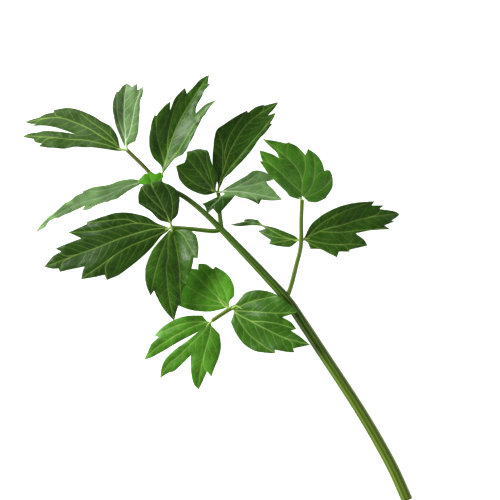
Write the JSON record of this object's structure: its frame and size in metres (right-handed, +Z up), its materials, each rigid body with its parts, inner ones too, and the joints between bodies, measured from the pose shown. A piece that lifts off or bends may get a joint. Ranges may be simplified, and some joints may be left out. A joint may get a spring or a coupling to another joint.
{
  "type": "lovage leaf",
  "caption": "Cut compound leaf of lovage lying flat: a long green leaf stalk with branching side stalks and toothed, fan-shaped leaflets.",
  "frame": {"origin": "middle of the leaf's footprint, on the surface that it lies on", "axes": "+Z up off the surface, +Y along the leaf stalk from its cut end towards the end leaflets"},
  "size_m": [0.1532, 0.2678, 0.0373],
  "materials": {
    "stalk": "satin",
    "leaf_dark": "satin",
    "leaf_bright": "satin",
    "leaf_pale": "matt",
    "leaf_young": "satin"
  },
  "bodies": {
    "root": {"main_stem": "stalk", "stalk_a_right": "stalk", "stalk_a_left": "stalk", "stalk_b_left": "stalk", "stalk_b_right": "stalk", "leaflet_t_left": "leaf_dark", "leaflet_t_up": "leaf_pale", "leaflet_c_left": "leaf_pale", "leaflet_c_up": "leaf_dark", "leaflet_c_young": "leaf_young", "leaflet_b_left_up": "leaf_dark", "leaflet_b_left_left": "leaf_dark", "leaflet_b_left_down": "leaf_dark", "leaflet_b_right_round": "leaf_dark", "leaflet_b_right_large": "leaf_dark", "leaflet_b_right_lower": "leaf_pale", "leaflet_a_right_end": "leaf_bright", "leaflet_a_right_left": "leaf_dark", "leaflet_a_right_right": "leaf_dark", "leaflet_a_left_up": "leaf_bright", "leaflet_a_left_right": "leaf_bright", "leaflet_a_left_end": "leaf_bright"}
  },
  "joints": []
}
